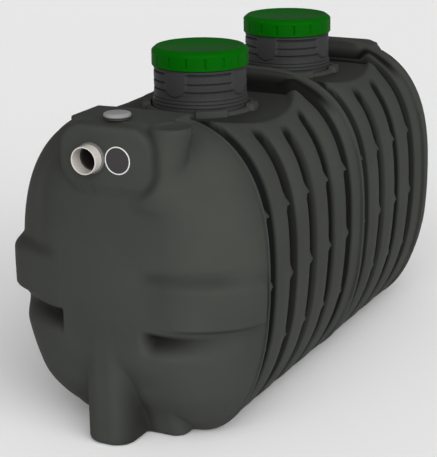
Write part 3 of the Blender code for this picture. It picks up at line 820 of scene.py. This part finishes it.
def plastic(name, colour, roughness, bump=0.15, mottle=0.12, specular=0.15):
    """Moulded plastic: an uneven tone, painted shade that darkens it in recesses, a fine grain and an uneven
    gloss.
    """
    made = bpy.data.materials.new(name)
    made.use_nodes = True
    nodes = made.node_tree.nodes
    links = made.node_tree.links
    shader = nodes["Principled BSDF"]
    shader.inputs["Specular IOR Level"].default_value = specular
    place = nodes.new("ShaderNodeTexCoord")
    cloud = noise(nodes, links, place, CLOUD_SCALE, CLOUD_DETAIL)
    tones = nodes.new("ShaderNodeValToRGB")
    for stop, position, tone in zip(tones.color_ramp.elements, CLOUD_RANGE, (1.0 - mottle, 1.0 + mottle)):
        stop.position = position
        stop.color = (*(c * tone for c in colour), 1.0)
    links.new(cloud, tones.inputs["Fac"])
    # Painted shade: a value stored on each point of the barrels and ends darkens the colour in grooves,
    # pockets, folds and on the decks
    painted_shade = nodes.new("ShaderNodeAttribute")
    painted_shade.attribute_name = "painted_shade"
    shaded = nodes.new("ShaderNodeVectorMath")
    shaded.operation = "SCALE"
    links.new(tones.outputs["Color"], shaded.inputs[0])
    links.new(stretched(nodes, links, painted_shade.outputs["Fac"], 1.0, PAINTED_SHADE_DARKEST), shaded.inputs["Scale"])
    links.new(shaded.outputs["Vector"], shader.inputs["Base Color"])
    gloss = stretched(nodes, links, cloud, roughness - GLOSS_SPREAD, roughness + GLOSS_SPREAD)
    links.new(gloss, shader.inputs["Roughness"])
    relief = nodes.new("ShaderNodeBump")
    relief.inputs["Strength"].default_value = bump
    relief.inputs["Distance"].default_value = GRAIN_HEIGHT
    links.new(noise(nodes, links, place, GRAIN_SCALE, GRAIN_DETAIL), relief.inputs["Height"])
    links.new(relief.outputs["Normal"], shader.inputs["Normal"])
    return made


# Each look's finish in the record, and its material
MATERIALS = {
    "body": ("body_plastic", plastic("body_plastic", (0.0365, 0.0385, 0.0345), 0.60, specular=0.04)),
    "neck": ("neck_plastic", plastic("neck_plastic", (0.022, 0.022, 0.023), 0.55)),
    "lid": ("lid_plastic", plastic("lid_plastic", (0.000, 0.072, 0.000), 0.50, bump=0.08, mottle=0.05,
                                   specular=0.03)),
    "pipe": ("pipe_plastic", plastic("pipe_plastic", (0.460, 0.435, 0.400), 0.40, bump=0.04, mottle=0.04)),
    # Painted shade: the spigot's part inside the wall is painted dark for the shade deep in its bore; it
    # keeps the pipe's finish
    "dark": ("pipe_plastic", plastic("bore_painted_shade", (0.030, 0.028, 0.025), 0.60)),
    "vent": ("vent_plastic", plastic("vent_plastic", (0.200, 0.200, 0.200), 0.45, mottle=0.06)),
    "seal": ("rubber", plastic("seal_rubber", (0.110, 0.110, 0.108), 0.70)),
    "ring": ("ring_plastic", plastic("ring_plastic", (0.550, 0.550, 0.550), 0.45, mottle=0.04)),
    "plate": ("plate_plastic", plastic("plate_plastic", (0.030, 0.028, 0.028), 0.55)),
}


def dress(made, look):
    """Give a piece the material of a look."""
    finish, paint = MATERIALS[look]
    made.data.materials.clear()
    made.data.materials.append(paint)
    return made


def lathe(name, profile, centre, look, around=SMALL_AROUND, outward=0.0, shape=None, body="tank"):
    """Revolve a closed profile of (radius, height) about Z, or about Y where outward is -1 or 1."""
    angles = np.arange(around) * 2.0 * math.pi / around
    turn = np.repeat(angles[:, None], len(profile), axis=1)
    radii = np.tile([p[0] for p in profile], (around, 1))
    heights = np.tile([p[1] for p in profile], (around, 1))
    if shape is not None:
        radii, heights = shape(turn, radii, heights)
    across = radii * np.cos(turn)
    up = radii * np.sin(turn)
    parts = (across, heights * outward, up) if outward else (across, up, heights)
    points = np.stack(parts, axis=2) + np.array(centre)
    mesh = bpy.data.meshes.new(name)
    mesh.from_pydata(points.reshape(-1, 3).tolist(), [], grid_faces(around, len(profile), True))
    builder = bmesh.new()
    builder.from_mesh(mesh)
    bmesh.ops.remove_doubles(builder, verts=builder.verts, dist=MERGE_DISTANCE)
    bmesh.ops.recalc_face_normals(builder, faces=builder.faces)
    builder.to_mesh(mesh)
    builder.free()
    return dress(finish_mesh(name, mesh, body, ROUND_SHARP), look)


def rounded_rim(radius, height, edges):
    """Profile points at given insets from a radius and drops from a height."""
    return [(radius - inset, height - drop) for inset, drop in edges]


def bevelled_tube(bore, radius, start, tip, edge):
    """Profile of a tube with bevelled edges at its tip."""
    return [
        (bore, start), (radius, start), (radius, tip - edge), (radius - edge, tip), (bore + edge, tip),
        (bore, tip - edge),
    ]


def degrees_off(turn, centre):
    """Angle between each direction and a centre, in degrees."""
    return np.abs((np.degrees(turn) - centre + 180.0) % 360.0 - 180.0)


def window(turn, centre, half, edge):
    """1 within half degrees of a direction, fading to 0 over edge degrees."""
    return 1.0 - smooth_step((degrees_off(turn, centre) - half) / edge)


def neck_shape(turn, radii, heights):
    """Ring ribs on the neck's outside, broken by four pads that end in a rounded foot."""
    outside = (radii > NECK_SEAT_RADIUS + NECK_SEAT_MARGIN) & (heights < LID_BOTTOM_Z)
    flare = smooth_step((heights - DECK_Z - NECK_FLARE_START) / NECK_FLARE_HEIGHT)
    body = NECK_UPPER_RADIUS + NECK_FLARE * (1.0 - flare)
    for level, half, depth in NECK_GROOVES:
        body = body - depth * (1.0 - smooth_step(np.abs(heights - level) / half))
    top = smooth_step((NECK_PAD_TOP_Z - heights) / NECK_PAD_TOP_FADE)
    pads = np.zeros_like(radii)
    for number in range(NECK_PADS):
        middle = 360.0 / NECK_PADS * number + NECK_PAD_TURN
        off = np.minimum(degrees_off(turn, middle) / NECK_PAD_HALF_ANGLE, NECK_PAD_PAST)
        foot_z = NECK_PAD_FOOT_Z + NECK_PAD_FOOT_RISE * off ** 2
        sides = window(turn, middle, NECK_PAD_HALF_ANGLE - NECK_PAD_EDGE / 2.0, NECK_PAD_EDGE)
        pads = np.maximum(pads, smooth_step((heights - foot_z) / NECK_PAD_FOOT_FADE) * sides * top)
    shaped = body + (NECK_PAD_RADIUS - body) * pads
    return np.where(outside, shaped, radii), heights


def lid_shape(turn, radii, heights):
    """Grip notches in the lid's skirt."""
    low = smooth_step((heights - LID_BOTTOM_Z - GRIP_LOW) / GRIP_LOW_FADE)
    high = smooth_step((LID_TOP_Z - GRIP_HIGH - heights) / GRIP_HIGH_FADE)
    skirt = (radii > LID_RADIUS - GRIP_SKIN) * low * high
    notch = np.zeros_like(radii)
    for number in range(LID_GRIPS):
        middle = 360.0 / LID_GRIPS * number + GRIP_TURN
        notch = np.maximum(notch, window(turn, middle, GRIP_HALF_ANGLE, GRIP_EDGE))
    return radii - GRIP_DEPTH * notch * skirt, heights


def socket_shape(turn, radii, heights):
    """Four raised tabs on the ring round the neck."""
    tab = np.zeros_like(radii)
    for centre, half in SOCKET_TABS:
        tab = np.maximum(tab, window(turn, centre, half, SOCKET_TAB_EDGE))
    outer = radii > SOCKET_TAB_FROM_RADIUS
    high = heights > DECK_Z + SOCKET_TAB_FROM_HEIGHT
    return radii + SOCKET_TAB_REACH * tab * outer, heights + SOCKET_TAB_RISE * tab * high


def build_neck(place, centre, deck):
    """The ribbed neck, from the deck up to the seal under its lid."""
    rim = LID_TOP_Z - LID_THICKNESS - LID_SEAL_HEIGHT
    seat = LID_BOTTOM_Z - NECK_SEAT_DROP
    levels = np.linspace(LID_BOTTOM_Z - NECK_TOP_DROP, deck + NECK_FOOT_HEIGHT, NECK_STEPS)
    profile = [(NECK_BORE, deck), (NECK_BORE, rim), (NECK_SEAT_RADIUS, rim), (NECK_SEAT_RADIUS, seat)]
    profile = profile + [(NECK_UPPER_RADIUS, z) for z in levels] + [(NECK_FOOT_RADIUS, deck)]
    made = lathe(place + "_neck_ribbed", profile, centre, "neck", NECK_AROUND, shape=neck_shape)
    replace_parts(made, place + "_neck")


def build_socket(place, centre, deck):
    """The raised ring round the neck, with a bevelled bore and a rounded outer edge."""
    top = deck + SOCKET_HEIGHT
    across, along = SOCKET_BEVEL
    profile = [(SOCKET_BORE, deck), (SOCKET_BORE, top - along), (SOCKET_BORE + across, top)]
    profile = profile + rounded_rim(SOCKET_RADIUS, top, SOCKET_ROUND) + [(SOCKET_RADIUS, deck)]
    made = lathe(place + "_neck_socket_tabs", profile, centre, "body", NECK_AROUND, shape=socket_shape)
    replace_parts(made, place + "_neck_socket")


def build_lid(place, centre):
    """A screw lid with a grip skirt and a raised rim round its top."""
    under = LID_TOP_Z - LID_THICKNESS
    levels = np.linspace(LID_BOTTOM_Z + LID_FOOT_EDGE, LID_TOP_Z - LID_SKIRT_TOP, LID_SKIRT_STEPS)
    profile = [(0.0, under), (LID_INNER_RADIUS, under), (LID_INNER_RADIUS, LID_BOTTOM_Z)]
    profile = profile + [(LID_RADIUS - LID_FOOT_EDGE, LID_BOTTOM_Z)] + [(LID_RADIUS, z) for z in levels]
    profile = profile + rounded_rim(LID_RADIUS, LID_TOP_Z, LID_CROWN) + [(0.0, LID_TOP_Z - LID_DISH)]
    node = place + "_lid"
    made = lathe(node + "_gripped", profile, centre, "lid", LID_AROUND, shape=lid_shape, body=node)
    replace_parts(made, node)


def build_pipe(pipe, centre, outward):
    """The spigot, as a pale stub outside the wall and, inside it, a part painted dark as painted shade deep
    in the bore, and its seal.
    """
    face = FACE_Y + GAP
    tip = FACE_Y + PIPE_REACH
    start = face - STUB_SEAT
    stub = bevelled_tube(PIPE_BORE, PIPE_RADIUS, start, tip, PIPE_EDGE)
    made = lathe(pipe + "_stub", stub, centre, "pipe", outward=outward)
    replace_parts(made, pipe + "_spigot")
    end = start - GAP
    across, along = SLEEVE_EDGE
    sleeve = [
        (SLEEVE_BORE, PIPE_INSIDE_Y), (PIPE_RADIUS, PIPE_INSIDE_Y), (PIPE_RADIUS, end),
        (SLEEVE_BORE + across, end), (SLEEVE_BORE, end - along),
    ]
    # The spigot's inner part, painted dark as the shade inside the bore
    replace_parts(lathe(pipe + "_painted_shade_bore", sleeve, centre, "dark", outward=outward), pipe + "_spigot")
    tip = face + SEAL_THICKNESS
    seal = [(PIPE_RADIUS + GAP, face), (SEAL_RADIUS, face)]
    seal = seal + rounded_rim(SEAL_RADIUS, tip, SEAL_ROUND) + [(PIPE_RADIUS + GAP, tip)]
    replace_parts(lathe(pipe + "_seal_lip", seal, centre, "seal", outward=outward), pipe + "_seal")


def build_port(place, centre, outward):
    """The closed second port: a pale ring round a disc."""
    face = FACE_Y + GAP
    ring = bevelled_tube(RING_BORE, RING_RADIUS, face, face + RING_THICKNESS, RING_EDGE)
    made = lathe(place + "_port_ring_bevelled", ring, centre, "ring", outward=outward)
    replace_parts(made, place + "_port_ring")
    tip = face + PLATE_THICKNESS
    across, along = PLATE_EDGE
    plate = [(0.0, face), (PLATE_RADIUS, face), (PLATE_RADIUS, tip - along), (PLATE_RADIUS - across, tip)]
    made = lathe(place + "_port_disc", plate + [(0.0, tip)], centre, "plate", outward=outward)
    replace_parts(made, place + "_port_plate")


def build_vent():
    """The capped vent on top of the inlet end's boss."""
    spot = (0.0, -VENT_Y, 0.0)
    foot_z = BOSS_TOP_Z + GAP
    shoulder = VENT_TOP_Z - VENT_CAP_HEIGHT
    flare, flare_height = STEM_FLARE
    stem = [
        (0.0, foot_z), (STEM_RADIUS + flare, foot_z), (STEM_RADIUS, BOSS_TOP_Z + flare_height),
        (STEM_RADIUS, shoulder - STEM_EDGE), (STEM_RADIUS - STEM_EDGE, shoulder), (0.0, shoulder),
    ]
    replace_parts(lathe("vent_stem", stem, spot, "body"), "front_vent_collar")
    under = shoulder + GAP
    across, along = VENT_UNDERCUT
    cap = [(0.0, under), (VENT_RADIUS - across, under), (VENT_RADIUS, shoulder + along)]
    cap = cap + rounded_rim(VENT_RADIUS, VENT_TOP_Z, VENT_CROWN) + [(0.0, VENT_TOP_Z)]
    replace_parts(lathe("vent_top", cap, spot, "vent"), "front_vent_cap")


def add_camera():
    """The camera that was fitted to the photo."""
    around, down, roll = (math.radians(v) for v in (CAMERA_AZIMUTH, CAMERA_DOWN, CAMERA_ROLL))
    back = Vector((math.sin(around) * math.cos(down), -math.cos(around) * math.cos(down), math.sin(down)))
    right = Vector((math.cos(around), math.sin(around), 0.0))
    up = back.cross(right)
    turned_right = right * math.cos(roll) + up * math.sin(roll)
    turned_up = up * math.cos(roll) - right * math.sin(roll)
    data = bpy.data.cameras.new("camera")
    data.lens = CAMERA_LENS
    data.sensor_width = CAMERA_SENSOR
    data.shift_x, data.shift_y = CAMERA_SHIFT
    data.clip_end = CAMERA_SIGHT
    made = bpy.data.objects.new("camera", data)
    turn = Matrix((turned_right, turned_up, back)).transposed().to_4x4()
    made.matrix_world = Matrix.Translation(CAMERA_PLACE) @ turn
    bpy.context.scene.collection.objects.link(made)
    bpy.context.scene.camera = made


def add_floor():
    """A plain pale floor just under the base."""
    builder = bmesh.new()
    bmesh.ops.create_grid(builder, x_segments=1, y_segments=1, size=FLOOR_SIZE)
    mesh = bpy.data.meshes.new("floor")
    builder.to_mesh(mesh)
    builder.free()
    floor = bpy.data.objects.new("floor", mesh)
    floor.location = (0.0, 0.0, -FLOOR_DROP)
    bpy.context.scene.collection.objects.link(floor)
    look = bpy.data.materials.new("floor")
    look.use_nodes = True
    shader = look.node_tree.nodes["Principled BSDF"]
    shader.inputs["Base Color"].default_value = (FLOOR_TONE, FLOOR_TONE, FLOOR_TONE, 1.0)
    shader.inputs["Roughness"].default_value = FLOOR_ROUGHNESS
    mesh.materials.append(look)


def add_light():
    """A dim even sky that brightens softly towards one side."""
    world = bpy.data.worlds.new("studio")
    world.use_nodes = True
    nodes = world.node_tree.nodes
    links = world.node_tree.links
    around = math.radians(LIGHT_AZIMUTH)
    rise = math.radians(LIGHT_RISE)
    level = math.cos(rise)
    way = nodes.new("ShaderNodeTexCoord")
    towards = nodes.new("ShaderNodeVectorMath")
    towards.operation = "DOT_PRODUCT"
    towards.inputs[1].default_value = (level * math.cos(around), level * math.sin(around), math.sin(rise))
    links.new(way.outputs["Generated"], towards.inputs[0])
    glow = nodes.new("ShaderNodeMapRange")
    glow.interpolation_type = "SMOOTHSTEP"
    glow.inputs["From Min"].default_value = LIGHT_SPREAD
    glow.inputs["To Min"].default_value = LIGHT_DIM
    glow.inputs["To Max"].default_value = LIGHT_BRIGHT
    links.new(towards.outputs["Value"], glow.inputs["Value"])
    links.new(glow.outputs["Result"], nodes["Background"].inputs["Strength"])
    nodes["Background"].inputs["Color"].default_value = (1.0, 1.0, 1.0, 1.0)
    bpy.context.scene.world = world


def main():
    add_camera()
    for place, pipe, outward in (("front", "inlet", -1.0), ("rear", "outlet", 1.0)):
        barrel(place)
        domed_end(place, outward)
        centre = (0.0, NECK_YS[place], 0.0)
        build_neck(place, centre, DECK_Z + GAP)
        build_socket(place, centre, DECK_Z + GAP)
        build_lid(place, centre)
        build_pipe(pipe, (outward * PORT_X, 0.0, PORT_ZS[place]), outward)
        build_port(place, (-outward * PORT_X, 0.0, PORT_ZS[place]), outward)
        lid_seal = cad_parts[place + "_lid_seal"]
        lid_seal.data.materials.clear()
        lid_seal.data.materials.append(MATERIALS["seal"][1])
    build_vent()
    for node in SEAM_LIPS:
        seam_lip(node)
    add_floor()
    add_light()
    bpy.context.scene.view_settings.view_transform = "Standard"


main()
